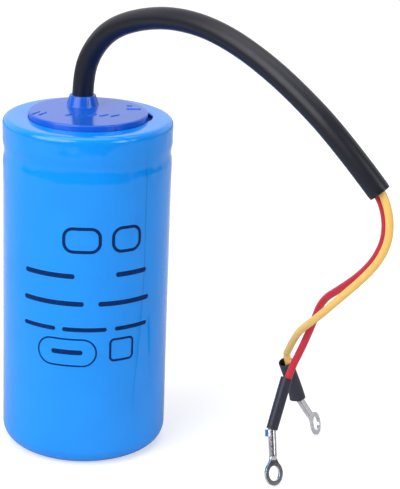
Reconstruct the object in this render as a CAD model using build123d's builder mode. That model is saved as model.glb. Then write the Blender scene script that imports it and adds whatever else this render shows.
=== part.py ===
"""Motor start capacitor.

A beaded aluminium can in a shrunk PVC film, closed by a moulded cover whose gland grips a
short sheathed lead. The lead's two cores end in ring terminals. Millimetres, +Z up, origin
at the centre of the can's base.
"""
import os
from math import pi, radians, tan

from build123d import *

os.makedirs("parts", exist_ok=True)

# --- film and can ---------------------------------------------------------------------
body_r = 25.0            # outside of the film on the straight wall
swell_r = 25.12          # the wall swells this far just below the groove
swell_start_z = 80.0
rim_r = 25.2             # outside of the film round the rolled rim
rim_z = 102.35           # top of the film on the rim
film = 0.4               # thickness of the film
base_edge_r = 5.2
shoulder_r = 3.0
film_lip_r = 17.0        # the film ends here under the base
film_ring_r = 17.85      # and here on top, round the cover's boss
bead_z = 92.7            # groove rolled into the can
film_dip = 0.3           # the film spans the groove and sinks this far into it
dip_half = 3.0           # half height of the film's dip

can_wall = 0.5
can_r = body_r - film
can_rim_r = rim_r - film - 0.06   # the film bridges to the rim and stands just clear of it
can_top_z = rim_z - film
bead_depth = 1.5
bead_half = 2.4          # half height of the groove at the can's wall
curl_tip_r = 20.9        # the rim rolls inwards to here

# --- closure --------------------------------------------------------------------------
closure_r = 24.2         # what lies above the bead fits the can's bore
disc_z = 95.6            # underside of the terminal disc
disc_t = 2.0
cover_z = disc_z + disc_t
cover_rim_top = can_top_z - can_wall
cover_rim_w = 2.2
moat_z = 99.4
boss_r = 17.68
boss_top_z = 104.33
cavity_r = 16.0
cavity_top_z = 102.5

gland_x = -1.75          # the gland stands off centre on the boss
gland_y = 7.35
gland_foot_r = 4.9
gland_lip_r = 3.9
gland_top_z = 107.45
socket_z = 104.9         # the sheath is seated here
throat_r = 2.5           # below the socket only the two cores pass
throat_top_z = 104.4
throat_mouth_r = 4.6

# --- inside the can -------------------------------------------------------------------
roll_r = 23.2
roll_z = (2.0, 88.0)
mandrel_r = 3.0
washer_r = 19.6
terminal_y = 8.0         # rivets stand this far each side of the can's axis
rivet_shank_r = 1.5
rivet_head_r = 2.7
rivet_head_t = 1.0
tag_t = 0.5
tab_t = 0.3
tag_turn_y = 12.5
tab_turn_y = 13.0
inner_core_z = 101.0

# --- lead -----------------------------------------------------------------------------
sheath_d = 6.4
sheath_bore_d = 5.5      # the sheath is empty round the cores at its far end
sheath_bore_depth = 8.0
core_d = 2.2
conductor_d = 1.5
sheath_route = [
    (gland_x, gland_y, socket_z), (gland_x, gland_y, 113.6), (0.9, 5.5, 121.7), (6.1, 1.2, 128.9),
    (14.4, -6.8, 133.6), (23.9, -18.0, 136.4), (34.1, -28.7, 135.6), (44.8, -39.6, 131.0),
    (56.0, -50.0, 123.0), (67.0, -58.4, 112.6), (77.5, -63.2, 99.7),
]
yellow_route = [
    (73.2, -61.8, 106.4), (77.4, -63.75, 101.2), (79.9, -64.9, 95.4), (80.8, -64.5, 87.9),
    (79.2, -61.6, 80.4), (75.3, -57.2, 73.0), (70.54, -50.2, 64.74), (66.16, -42.21, 56.23),
    (62.71, -32.87, 48.75), (62.08, -23.5, 41.92), (61.82, -15.58, 35.6), (61.48, -9.93, 30.73),
    (64.04, -8.09, 24.25),
]
red_route = [
    (72.46, -59.9, 105.09), (76.75, -61.8, 99.85), (79.4, -62.3, 94.0), (80.2, -61.2, 86.8),
    (78.7, -57.8, 79.6), (75.77, -51.19, 72.24), (71.97, -43.68, 65.54), (67.8, -36.04, 59.14),
    (66.4, -30.64, 49.82), (64.12, -27.7, 40.89), (61.06, -25.72, 32.41), (59.2, -27.76, 25.75),
]

# Ring terminals: barrel mouth, tip of the ring, and the way the flat of the ring faces.
ring_r = 3.6
stud_hole_r = 2.25
sheet_t = 0.7
barrel_r = 1.2
barrel_l = 8.4
tongue_u = 9.5           # the barrel has flattened into the tongue here
tongue_w = 3.0
lug_l = 17.15            # from the barrel's mouth to the ring's tip
seam = 0.2
seam_turn = 62           # degrees about the barrel from the ring's face to the seam
ear_turn = 104           # and to the crimp ear that stands beside the mouth
ear_u = (0.5, 2.6)       # where the ear starts and ends along the barrel
ear_w = 1.9
ear_t = 0.6
terminals = {
    "yellow": dict(mouth=(67.23, -5.32, 14.39), tip=(75.18, 1.38, 0.76), faces=(0.858, -0.422, 0.293)),
    "red": dict(mouth=(56.02, -30.64, 16.14), tip=(56.81, -37.28, 0.35), faces=(0.63, -0.704, 0.328)),
}

# Black insulating sleeves slipped over the core ends: top of the sleeve, its diameters, and
# how far its lower end reaches over the barrel.
sleeves = {
    "yellow": dict(top=(61.68, -9.28, 28.55), outer_d=4.4, inner_d=3.8, over=0.3),
    "red": dict(top=(60.14, -26.29, 30.45), outer_d=3.5, inner_d=3.0, over=0.4),
}


def save(builder, name):
    """Label a finished piece and write its STEP file."""
    builder.part.label = name
    export_step(builder.part, f"parts/{name}.step")


def bend_radii(points):
    """The radius at each corner of a route: 0.45 of the shorter run over tan(half turn)."""
    radii = []
    for before, corner, after in zip(points, points[1:], points[2:]):
        run_in, run_out = Vector(corner) - Vector(before), Vector(after) - Vector(corner)
        half_turn = radians(run_in.get_angle(run_out)) / 2
        radii.append(0.45 * min(run_in.length, run_out.length) / tan(half_turn))
    return radii


def lead(name, points, diameter, bore_d=0, bore_depth=0):
    """A round lead along straight runs joined by tangent arcs, bored out at its far end if asked."""
    radii = bend_radii(points)
    with BuildPart() as piece:
        with BuildLine():
            route = FilletPolyline(*points, radius=radii)
        with BuildSketch(Plane(origin=route @ 0, z_dir=route % 0)):
            Circle(diameter / 2)
        sweep(path=route)
        filled = piece.part.volume / (pi * diameter**2 / 4 * route.length)
        if bore_d:
            with BuildSketch(Plane(origin=route @ 1, z_dir=-(route % 1))):
                Circle(bore_d / 2)
            extrude(amount=bore_depth, mode=Mode.SUBTRACT)
    print(f"{name}: length {route.length:.1f} mm, tightest bend {min(radii) / diameter:.1f}",
          f"diameters, volume over section x length {filled:.4f}")
    return piece


# --- film: one shrunk skin from under the base to round the cover ----------------------
with BuildPart() as film_sleeve:
    with BuildSketch(Plane.XZ):
        with BuildLine():
            FilletPolyline(
                (film_lip_r, 0), (body_r, 0), (body_r, swell_start_z), (swell_r, bead_z - dip_half),
                (body_r - film_dip, bead_z), (rim_r, bead_z + dip_half), (rim_r, rim_z),
                (film_ring_r, rim_z), radius=[base_edge_r, 100, 12, 6, 8, shoulder_r],
            )
            offset(amount=film, side=Side.LEFT)
        make_face()
    revolve(axis=Axis.Z)
    # On one side the film's edge has pulled away from the boss in a shallow bay.
    with BuildSketch(Plane.XY.offset(rim_z - 2 * film)):
        with Locations((12.4, 1.7)):
            Circle(7.0)
    extrude(amount=3 * film, mode=Mode.SUBTRACT)
save(film_sleeve, "film_sleeve")

# --- can: drawn cup, groove rolled in below the closure, rim rolled over it -------------
with BuildPart() as can:
    with BuildSketch(Plane.XZ):
        with BuildLine():
            FilletPolyline(
                (0, film), (can_r, film), (can_r, bead_z - bead_half),
                (can_r - bead_depth, bead_z - 0.8), (can_r - bead_depth, bead_z + 0.8),
                (can_rim_r, bead_z + bead_half), (can_rim_r, can_top_z),
                (curl_tip_r + 0.3, can_top_z), (curl_tip_r, can_top_z - 1.1),
                radius=[base_edge_r - film, 1.0, 1.2, 1.2, 1.0, shoulder_r - film, 0.7],
            )
            offset(amount=can_wall, side=Side.LEFT)
        make_face()
    revolve(axis=Axis.Z)
save(can, "can")

# --- cover: rim under the roll, moat, hollow boss and the gland in one moulding ---------
gland_axis = Axis((gland_x, gland_y, 0), (0, 0, 1))
gland_plane = Plane(origin=(gland_x, gland_y, 0), x_dir=(1, 0, 0), z_dir=(0, -1, 0))
with BuildPart() as cover:
    with BuildSketch(Plane.XZ) as shell:
        with BuildLine():
            Polyline(
                (0, cavity_top_z), (cavity_r, cavity_top_z), (cavity_r, cover_z),
                (closure_r, cover_z), (closure_r, cover_rim_top),
                (closure_r - cover_rim_w, cover_rim_top), (closure_r - cover_rim_w, moat_z),
                (boss_r, moat_z), (boss_r, boss_top_z), (0, boss_top_z), close=True,
            )
        make_face()
        corners = shell.vertices()
        fillet(corners.filter_by(lambda v: v.X > closure_r - 0.1).sort_by(Axis.Y)[-1], 2.1)
        fillet(corners.filter_by(lambda v: abs(v.X - boss_r) < 0.1).sort_by(Axis.Y)[-1], 0.5)
        fillet(corners.filter_by(lambda v: abs(v.X - cavity_r) < 0.1).sort_by(Axis.Y)[-1], 1.0)
    revolve(axis=Axis.Z)
    with BuildSketch(gland_plane):
        with BuildLine():
            Polyline(
                (0, cavity_top_z), (gland_foot_r, cavity_top_z), (gland_foot_r, boss_top_z),
                (gland_lip_r, gland_top_z), (0, gland_top_z), close=True,
            )
        make_face()
    revolve(axis=gland_axis)
    with BuildSketch(gland_plane):
        with BuildLine():
            Polyline(
                (0, cavity_top_z - 1), (throat_mouth_r, cavity_top_z - 1),
                (throat_mouth_r, cavity_top_z), (throat_r, throat_top_z), (throat_r, socket_z),
                (sheath_d / 2, socket_z), (sheath_d / 2, gland_top_z + 1), (0, gland_top_z + 1),
                close=True,
            )
        make_face()
    revolve(axis=gland_axis, mode=Mode.SUBTRACT)
save(cover, "cover")

# --- rubber ring squeezed on to the bead's shoulder under the terminal disc --------------
with BuildPart() as seal_ring:
    with BuildSketch(Plane.XZ):
        with BuildLine():
            Polyline(
                (21.4, disc_z), (21.4, disc_z - 1.3), (23.15, disc_z - 1.3),
                (24.1, disc_z - 0.37), (24.1, disc_z), close=True,
            )
        make_face()
    revolve(axis=Axis.Z)
save(seal_ring, "seal_ring")

# --- laminate disc that carries the two terminals ---------------------------------------
with BuildPart() as terminal_disc:
    with BuildSketch(Plane.XY.offset(disc_z)):
        Circle(closure_r)
        with Locations((gland_x, terminal_y), (gland_x, -terminal_y)):
            Circle(rivet_shank_r, mode=Mode.SUBTRACT)
    extrude(amount=disc_t)
save(terminal_disc, "terminal_disc")

# --- wound element and the washer it stands on ------------------------------------------
with BuildPart() as wound_element:
    with BuildSketch(Plane.XY.offset(roll_z[0])):
        Circle(roll_r)
        Circle(mandrel_r, mode=Mode.SUBTRACT)
    extrude(amount=roll_z[1] - roll_z[0])
    rims = wound_element.edges().filter_by(GeomType.CIRCLE).filter_by(lambda e: e.radius > roll_r - 1)
    chamfer(rims, 1.5)
save(wound_element, "wound_element")

with BuildPart() as base_washer:
    with BuildSketch(Plane.XY.offset(film + can_wall)):
        Circle(washer_r)
        Circle(mandrel_r + 1, mode=Mode.SUBTRACT)
    extrude(amount=roll_z[0] - film - can_wall)
save(base_washer, "base_washer")

# --- the two terminals: foil tab, rivet, solder tag and inner core -----------------------
for colour, side in (("yellow", 1), ("red", -1)):
    rivet_y = side * terminal_y
    section_plane = Plane(origin=(gland_x, 0, 0), x_dir=(0, side, 0), z_dir=(side, 0, 0))

    with BuildPart() as foil_tab:
        with BuildSketch(section_plane):
            with BuildLine():
                strip = FilletPolyline(
                    (tab_turn_y, roll_z[1]), (tab_turn_y, disc_z - tab_t / 2),
                    (5.0, disc_z - tab_t / 2), radius=1.2,
                )
            trace(strip, line_width=tab_t)
        extrude(amount=2.5, both=True)
        with Locations((gland_x, rivet_y, disc_z)):
            Cylinder(rivet_shank_r, 4, mode=Mode.SUBTRACT)
    save(foil_tab, f"foil_tab_{colour}")

    with BuildPart() as rivet:
        low = disc_z - tab_t - rivet_head_t
        high = cover_z + tag_t + rivet_head_t
        with BuildSketch(Plane.XY.offset(low)):
            with Locations((gland_x, rivet_y)):
                Circle(rivet_head_r)
        extrude(amount=rivet_head_t)
        with BuildSketch(Plane.XY.offset(low)):
            with Locations((gland_x, rivet_y)):
                Circle(rivet_shank_r)
        extrude(amount=high - low)
        with BuildSketch(Plane.XY.offset(high)):
            with Locations((gland_x, rivet_y)):
                Circle(rivet_head_r)
        extrude(amount=-rivet_head_t)
        fillet(rivet.edges().filter_by(GeomType.CIRCLE).group_by(Axis.Z)[-1], 0.45)
    save(rivet, f"rivet_{colour}")

    with BuildPart() as solder_tag:
        with BuildSketch(section_plane):
            with BuildLine():
                strip = FilletPolyline(
                    (4.6, cover_z + tag_t / 2), (tag_turn_y, cover_z + tag_t / 2),
                    (tag_turn_y, inner_core_z + 1.2), radius=0.9,
                )
            trace(strip, line_width=tag_t)
        extrude(amount=2.0, both=True)
        with Locations((gland_x, rivet_y, cover_z)):
            Cylinder(rivet_shank_r, 3, mode=Mode.SUBTRACT)
    save(solder_tag, f"solder_tag_{colour}")

    with BuildPart() as inner_core:
        with BuildLine():
            bend = FilletPolyline(
                (gland_x, gland_y + side * 1.15, socket_z),
                (gland_x, gland_y + side * 1.15, inner_core_z),
                (gland_x, side * (tag_turn_y - tag_t / 2), inner_core_z), radius=3.2,
            )
        with BuildSketch(Plane(origin=bend @ 0, z_dir=bend % 0)):
            Circle(core_d / 2)
        sweep(path=bend)
    save(inner_core, f"inner_core_{colour}")

# --- sheath: gripped in the gland, open where the cores come out -------------------------
cable_sheath = lead("cable_sheath", sheath_route, sheath_d, sheath_bore_d, sheath_bore_depth)
save(cable_sheath, "cable_sheath")

# --- the two cores with their sleeves, conductors and ring terminals --------------------
for colour, core_route in (("yellow", yellow_route), ("red", red_route)):
    core = lead(f"wire_{colour}", core_route, core_d)
    save(core, f"wire_{colour}")

    mouth, tip = Vector(*terminals[colour]["mouth"]), Vector(*terminals[colour]["tip"])
    lug_axis = (tip - mouth).normalized()
    faces = Vector(*terminals[colour]["faces"])
    faces = (faces - lug_axis * faces.dot(lug_axis)).normalized()
    turn_axis = Axis((0, 0, 0), lug_axis)
    seam_plane = Plane(mouth, x_dir=faces.rotate(turn_axis, seam_turn), z_dir=lug_axis)
    ear_plane = Plane(mouth, x_dir=faces.rotate(turn_axis, ear_turn), z_dir=lug_axis)
    barrel_plane = Plane(origin=mouth, x_dir=faces, z_dir=lug_axis)
    sheet_plane = Plane(origin=mouth, x_dir=lug_axis, z_dir=faces)

    sleeve_top = Vector(*sleeves[colour]["top"])
    sleeve_run = mouth + lug_axis * sleeves[colour]["over"] - sleeve_top
    with BuildPart() as end_sleeve:
        with BuildSketch(Plane(origin=sleeve_top, z_dir=sleeve_run)):
            Circle(sleeves[colour]["outer_d"] / 2)
            Circle(sleeves[colour]["inner_d"] / 2, mode=Mode.SUBTRACT)
        extrude(amount=sleeve_run.length)
    save(end_sleeve, f"end_sleeve_{colour}")

    core_end = Vector(*core_route[-1])
    core_way = (core_end - Vector(*core_route[-2])).normalized()
    with BuildPart() as conductor:
        with BuildLine():
            strands = FilletPolyline(
                core_end, core_end + core_way * 2.5, mouth - lug_axis * 1.5,
                mouth + lug_axis * barrel_l, radius=1.6,
            )
        with BuildSketch(Plane(origin=core_end, z_dir=core_way)):
            Circle(conductor_d / 2)
        sweep(path=strands)
    save(conductor, f"conductor_{colour}")

    ring_u = lug_l - ring_r
    with BuildPart() as ring_lug:
        with BuildSketch(sheet_plane):
            with Locations((ring_u, 0)):
                Circle(ring_r)
            with BuildLine():
                Polyline((tongue_u, -tongue_w / 2), (ring_u - 2.2, -2.6), (ring_u - 2.2, 2.6),
                         (tongue_u, tongue_w / 2), close=True)
            make_face()
            with Locations((ring_u, 0)):
                Circle(stud_hole_r, mode=Mode.SUBTRACT)
        extrude(amount=sheet_t / 2, both=True)
        with BuildSketch(barrel_plane):
            Circle(barrel_r)
        extrude(amount=barrel_l)
        with BuildSketch(barrel_plane.offset(barrel_l)):
            Circle(barrel_r)
        with BuildSketch(barrel_plane.offset(tongue_u)):
            Rectangle(sheet_t, tongue_w)
        loft()
        with BuildSketch(ear_plane.offset(ear_u[0])):
            with Locations((barrel_r + ear_t / 6, ear_w / 4)):
                Rectangle(ear_t, ear_w)
        extrude(amount=ear_u[1] - ear_u[0])
        with BuildSketch(seam_plane):
            Circle(conductor_d / 2)
            with Locations((barrel_r, 0)):
                Rectangle(2 * barrel_r, seam)
        extrude(amount=barrel_l, mode=Mode.SUBTRACT)
    save(ring_lug, f"ring_lug_{colour}")
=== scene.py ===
"""Motor start capacitor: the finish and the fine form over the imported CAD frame."""
from math import atan2, ceil, cos, exp, pi, radians, sin, sqrt, tan

import bmesh
import bpy
from mathutils import Matrix, Vector, noise


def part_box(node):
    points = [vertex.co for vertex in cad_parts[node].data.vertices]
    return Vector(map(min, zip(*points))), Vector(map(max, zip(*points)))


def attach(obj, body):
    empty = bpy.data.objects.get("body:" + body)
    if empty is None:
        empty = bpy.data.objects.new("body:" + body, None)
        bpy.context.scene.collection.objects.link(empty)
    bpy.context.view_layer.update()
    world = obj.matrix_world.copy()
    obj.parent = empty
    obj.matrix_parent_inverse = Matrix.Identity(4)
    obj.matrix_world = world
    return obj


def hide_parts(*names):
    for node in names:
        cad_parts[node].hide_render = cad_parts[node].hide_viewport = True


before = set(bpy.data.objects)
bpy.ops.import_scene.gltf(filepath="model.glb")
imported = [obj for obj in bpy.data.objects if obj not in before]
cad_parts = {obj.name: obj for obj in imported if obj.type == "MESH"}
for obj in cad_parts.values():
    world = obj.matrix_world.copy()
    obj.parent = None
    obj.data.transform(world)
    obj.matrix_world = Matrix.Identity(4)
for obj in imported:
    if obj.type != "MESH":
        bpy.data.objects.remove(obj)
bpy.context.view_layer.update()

bl_info = {
    "name": "Motor start capacitor",
    "version": (1, 0, 0),
    "blender": (4, 5, 0),
    "location": "3D Viewport > Sidebar > Capacitor",
    "description": "Shrink-filmed can, moulded cover, sheathed lead and ring terminals",
    "category": "Add Mesh",
}

MM = 0.001
FILM_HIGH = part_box("film_sleeve")[1]
COVER_LOW, COVER_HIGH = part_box("cover")

# Radii and heights of the film, the can and the cover, in millimetres.
FILM_LIP_R = 17.0        # the film ends here under the base
FILM_EDGE_R = 17.85      # and here on top, round the cover's boss
FILM_FREE_R = 22.0       # inside this radius the film's top can pull away from the boss
SWELL_Z = 80.0           # the wall starts to swell here
SWELL = 0.12             # and is this much wider just under the groove
BEAD_Z = 92.7            # middle of the groove rolled into the can
FILM_DIP = 0.3           # the film sinks this far into the groove
DIP_HALF = 3.0           # half height of that dip
LID_TOP = 104.33         # top of the boss
LID_T = 1.83             # thickness of the boss's top
BOSS_R = 17.68
CAVITY_R = 16.0          # hollow of the boss
MOAT_R = 22.0            # the moat runs from the boss out to here
MOAT_Z = 101.3
COVER_RIM_Z = 101.45

# Routes of the lead, the same points as the CAD source, in millimetres.
SHEATH_ROUTE = (
    (-1.75, 7.35, 104.9), (-1.75, 7.35, 113.6), (0.9, 5.5, 121.7), (6.1, 1.2, 128.9),
    (14.4, -6.8, 133.6), (23.9, -18.0, 136.4), (34.1, -28.7, 135.6), (44.8, -39.6, 131.0),
    (56.0, -50.0, 123.0), (67.0, -58.4, 112.6), (77.5, -63.2, 99.7),
)
WIRE_ROUTES = {
    "yellow": (
        (73.2, -61.8, 106.4), (77.4, -63.75, 101.2), (79.9, -64.9, 95.4), (80.8, -64.5, 87.9),
        (79.2, -61.6, 80.4), (75.3, -57.2, 73.0), (70.54, -50.2, 64.74), (66.16, -42.21, 56.23),
        (62.71, -32.87, 48.75), (62.08, -23.5, 41.92), (61.82, -15.58, 35.6),
        (61.48, -9.93, 30.73), (64.04, -8.09, 24.25),
    ),
    "red": (
        (72.46, -59.9, 105.09), (76.75, -61.8, 99.85), (79.4, -62.3, 94.0), (80.2, -61.2, 86.8),
        (78.7, -57.8, 79.6), (75.77, -51.19, 72.24), (71.97, -43.68, 65.54),
        (67.8, -36.04, 59.14), (66.4, -30.64, 49.82), (64.12, -27.7, 40.89),
        (61.06, -25.72, 32.41), (59.2, -27.76, 25.75),
    ),
}
# Ring terminals: mouth of the barrel, tip of the ring, and the way its flat faces.
LUGS = {
    "yellow": ((67.23, -5.32, 14.39), (75.18, 1.38, 0.76), (0.858, -0.422, 0.293)),
    "red": ((56.02, -30.64, 16.14), (56.81, -37.28, 0.35), (0.63, -0.704, 0.328)),
}
BARREL_R = 1.2
BORE_R = 0.76            # hollow of the barrel
BARREL_END = 8.4         # from here on the barrel flattens
NECK = 9.5               # and from here on it is flat
NECK_W = 3.0
HALF_SHEET = 0.35        # half the sheet's thickness
EAR_TURN = 104           # degrees about the barrel from the ring's face to the crimp ear

# Insulating sleeves: their upper ends and radii, how far the lower end reaches over the barrel,
# how far it is pressed flat, how far it hangs to one side, and how far it is cut askew.
END_SLEEVES = {
    "yellow": dict(top=(61.68, -9.28, 28.55), outer=2.2, inner=1.9, over=-0.2, pressed=-0.16,
                   hang=-0.5, askew=0.6),
    "red": dict(top=(60.14, -26.29, 30.45), outer=1.75, inner=1.5, over=0.4, pressed=0.08,
                hang=0.0, askew=0.0),
}


# ---------------------------------------------------------------- settings
class CapacitorCanSettings(bpy.types.PropertyGroup):
    film_colour: bpy.props.StringProperty(
        name="Film", description="sRGB hex colour of the shrunk film", default="0F94FC")
    ink_colour: bpy.props.StringProperty(
        name="Ink", description="sRGB hex colour of the printed marks", default="012353")
    cover_colour: bpy.props.StringProperty(
        name="Cover", description="sRGB hex colour of the moulded cover", default="1861D4")
    film_ripple: bpy.props.FloatProperty(
        name="Ripple", description="How far the film strays from the can", default=0.00003,
        min=0.0, max=0.0002, precision=5, unit="LENGTH")
    body_radius: bpy.props.FloatProperty(
        name="Body radius", description="Outside of the film on the straight wall",
        default=0.02515, unit="LENGTH")
    film_thickness: bpy.props.FloatProperty(
        name="Film thickness", description="Thickness of the film's cut edge",
        default=0.0004, unit="LENGTH")


class CapacitorLeadSettings(bpy.types.PropertyGroup):
    sheath_colour: bpy.props.StringProperty(
        name="Sheath", description="sRGB hex colour of the black sheath", default="141522")
    sleeve_colour: bpy.props.StringProperty(
        name="End sleeves", description="sRGB hex colour of the sleeves on the wire ends",
        default="2A2A3A")
    yellow_colour: bpy.props.StringProperty(
        name="Yellow", description="sRGB hex colour of the yellow wire", default="F4C76C")
    red_colour: bpy.props.StringProperty(
        name="Red", description="sRGB hex colour of the red wire", default="C62638")
    sheath_diameter: bpy.props.FloatProperty(
        name="Sheath diameter", description="Outside of the sheath", default=0.0064,
        unit="LENGTH")
    wire_diameter: bpy.props.FloatProperty(
        name="Wire diameter", description="Outside of each wire", default=0.0022, unit="LENGTH")


class CapacitorLugSettings(bpy.types.PropertyGroup):
    tin_colour: bpy.props.StringProperty(
        name="Tin", description="sRGB hex colour of the tin plating", default="F0EFF6")
    # A brighter copy of the tin colour: a painted highlight on the rolled barrel.
    barrel_highlight_colour: bpy.props.StringProperty(
        name="Rolled barrel", description="sRGB hex colour of the burnished barrel",
        default="F8F7FC")
    length: bpy.props.FloatProperty(
        name="Length", description="From the barrel's mouth to the ring's tip",
        default=0.01715, unit="LENGTH")
    ring_radius: bpy.props.FloatProperty(
        name="Ring radius", description="Outside of the ring", default=0.0036, unit="LENGTH")
    hole_radius: bpy.props.FloatProperty(
        name="Hole radius", description="Stud hole", default=0.00225, unit="LENGTH")


class CapacitorStageSettings(bpy.types.PropertyGroup):
    camera_place: bpy.props.FloatVectorProperty(
        name="Camera", description="Where the camera stands", default=(0.0, -0.49165, 0.23059),
        subtype="XYZ", unit="LENGTH")
    camera_target: bpy.props.FloatVectorProperty(
        name="Target", description="The point at the picture's centre",
        default=(0.03458, -0.00055, 0.0632), subtype="XYZ", unit="LENGTH")
    camera_roll: bpy.props.FloatProperty(
        name="Roll", description="Turn of the camera about its own axis",
        default=radians(2.19), subtype="ANGLE")
    camera_lens: bpy.props.FloatProperty(
        name="Lens", description="Focal length in millimetres for a 36 mm sensor",
        default=125.5, min=20.0)
    floor_colour: bpy.props.StringProperty(
        name="Floor", description="sRGB hex colour of the floor", default="D2D2D2")


# ---------------------------------------------------------------- small helpers
def linear(hex_colour, alpha=1.0):
    """A linear RGBA colour from an sRGB hex value."""
    channels = [int(hex_colour[i:i + 2], 16) / 255 for i in (0, 2, 4)]
    return (*[c / 12.92 if c <= 0.04045 else ((c + 0.055) / 1.055) ** 2.4 for c in channels], alpha)


def shade(colour, share):
    """The same linear colour, darkened to a share of its brightness."""
    return (*[c * share for c in colour[:3]], 1)


def add_node(tree, kind, settings=None, into=None, **links):
    """Add a node with its settings and links.

    Settings are the node's properties, its sockets' values or a ramp's stops. Links feed its
    sockets by name, or by number after an underscore. Its first output feeds the socket into.
    """
    node = tree.nodes.new(kind)
    for key, value in (settings or {}).items():
        if key == "stops":
            for place, _ in value[1:-1]:
                node.color_ramp.elements.new(place)
            for stop, (place, colour) in zip(node.color_ramp.elements, value):
                stop.position, stop.color = place, colour
        elif isinstance(key, int) or key in node.inputs:
            node.inputs[key].default_value = value
        else:
            setattr(node, key, value)
    for key, source in links.items():
        socket = node.inputs[int(key[1:])] if key[0] == "_" else node.inputs[key.replace("_", " ")]
        tree.links.new(source, socket)
    if into:
        tree.links.new(node.outputs[0], into)
    return node


def new_material(name, colour, **shader):
    """A material with one Principled shader, its fixed values set on the shader's own sockets."""
    made = bpy.data.materials.new(name)
    made.use_nodes = True
    tree = made.node_tree
    tree.nodes.clear()
    values = {key.replace("_", " "): value for key, value in shader.items()}
    values["Base Color"] = linear(colour)
    principled = add_node(tree, "ShaderNodeBsdfPrincipled", values)
    add_node(tree, "ShaderNodeOutputMaterial", _0=principled.outputs[0])
    made.diffuse_color = linear(colour)
    return made, tree, principled


def object_coords(tree):
    """Object coordinates: metres in the row frame, because every object sits at the origin."""
    return add_node(tree, "ShaderNodeTexCoord").outputs["Object"]


def grain(size_mm):
    """The scale of a noise pattern whose patches are about this many millimetres across."""
    return 1.0 / (size_mm * MM)


def make_object(name, vertices, faces, material, smooth=40):
    """A mesh object that rides on the root body, its faces smooth up to an angle in degrees."""
    mesh = bpy.data.meshes.new(name)
    mesh.from_pydata([tuple(v) for v in vertices], [], faces)
    mesh.validate()
    build = bmesh.new()
    build.from_mesh(mesh)
    bmesh.ops.recalc_face_normals(build, faces=build.faces)
    build.to_mesh(mesh)
    build.free()
    made = bpy.data.objects.new(name, mesh)
    bpy.context.scene.collection.objects.link(made)
    mesh.materials.append(material)
    mesh.shade_smooth()
    mesh.set_sharp_from_angle(angle=radians(smooth))
    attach(made, "root")
    return made


def rounded(points, radii, step=9):
    """A 2-D line with its inner corners rounded, an arc point every few degrees."""
    line = [Vector(points[0])]
    for before, corner, after, radius in zip(points, points[1:], points[2:], radii):
        before, corner, after = Vector(before), Vector(corner), Vector(after)
        to_before, to_after = (before - corner).normalized(), (after - corner).normalized()
        turn = pi - to_before.angle(to_after)
        if radius <= 0 or turn < 1e-4:
            line.append(corner)
            continue
        back = radius * tan(turn / 2)
        centre = corner + (to_before + to_after).normalized() * (radius / cos(turn / 2))
        start, end = corner + to_before * back - centre, corner + to_after * back - centre
        count = max(2, ceil(turn / radians(step)))
        for i in range(count + 1):
            share = i / count
            blend = (start * sin((1 - share) * turn) + end * sin(share * turn)) / sin(turn)
            line.append(centre + blend)
    line.append(Vector(points[-1]))
    return line


def closer(line, longest):
    """The same 2-D line with points added so that none are further apart than longest."""
    out = [line[0]]
    for a, b in zip(line, line[1:]):
        count = max(1, ceil((b - a).length / longest))
        out += [a.lerp(b, i / count) for i in range(1, count + 1)]
    return out


def evenly(sides):
    """Angles that divide a full turn into so many sides."""
    return [2 * pi * k / sides for k in range(sides)]


def band(a, b, sides):
    """Faces between two rings of vertices, given each ring's first vertex."""
    return [(a + k, a + (k + 1) % sides, b + (k + 1) % sides, b + k) for k in range(sides)]


def revolved(profile, angles, centre=(0.0, 0.0)):
    """Vertices and faces of a closed profile of radius and height, in mm, set at each angle."""
    vertices, faces = [], []
    count, sides = len(profile), len(angles)
    for angle in angles:
        for radius, height in profile:
            vertices.append(Vector((centre[0] + radius * cos(angle),
                                    centre[1] + radius * sin(angle), height)) * MM)
    for k in range(sides):
        a, b = k * count, (k + 1) % sides * count
        for i in range(count):
            j = (i + 1) % count
            faces.append((a + i, b + i, b + j, a + j))
    return vertices, faces


def spline_line(name, points):
    """The points that a lead's NURBS spline passes through, as Blender draws it."""
    curve = bpy.data.curves.new(name, "CURVE")
    curve.dimensions = "3D"
    spline = curve.splines.new("NURBS")
    spline.points.add(len(points) - 1)
    for point, place in zip(spline.points, points):
        point.co = (*[c * MM for c in place], 1)
    spline.order_u = 3
    spline.use_endpoint_u = True
    spline.resolution_u = 24
    holder = bpy.data.objects.new(name, curve)
    mesh = bpy.data.meshes.new_from_object(holder)
    line = [v.co.copy() for v in mesh.vertices]
    bpy.data.objects.remove(holder)
    bpy.data.curves.remove(curve)
    bpy.data.meshes.remove(mesh)
    return line


def frames_along(line):
    """Centre, tangent and two side directions at each point, carried along without twist."""
    tangents = [(line[min(i + 1, len(line) - 1)] - line[max(i - 1, 0)]).normalized()
                for i in range(len(line))]
    side = tangents[0].orthogonal().normalized()
    frames = []
    for place, tangent in zip(line, tangents):
        side = (side - tangent * side.dot(tangent)).normalized()
        frames.append((place, tangent, side, tangent.cross(side)))
    return frames


def tube(line, radius_at, sides):
    """Vertices and faces of a closed tube; radius_at gives the radius for a run and an angle."""
    vertices, faces = [], []
    run = 0.0
    for i, (place, _, side, up) in enumerate(frames_along(line)):
        run += (place - line[i - 1]).length if i else 0.0
        for angle in evenly(sides):
            vertices.append(place + (side * cos(angle) + up * sin(angle)) * radius_at(run, angle))
    for i in range(len(line) - 1):
        faces += band(i * sides, (i + 1) * sides, sides)
    return vertices, faces


def bell(away, width):
    """A smooth hump: 1 in the middle, and close to 0 beyond twice the width."""
    return exp(-(away / width) ** 2)


def noise_round(angle, waves, height):
    """Noise that meets itself round a full turn, with more waves to the turn as waves grows."""
    return noise.noise(Vector((cos(angle) * waves, sin(angle) * waves, height)))


def from_front(angle):
    """An angle about the can measured from its front, from minus to plus half a turn."""
    return (angle + 1.5 * pi) % (2 * pi) - pi


def length_of(line):
    """Length of a line of points."""
    return sum((b - a).length for a, b in zip(line, line[1:]))


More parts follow.
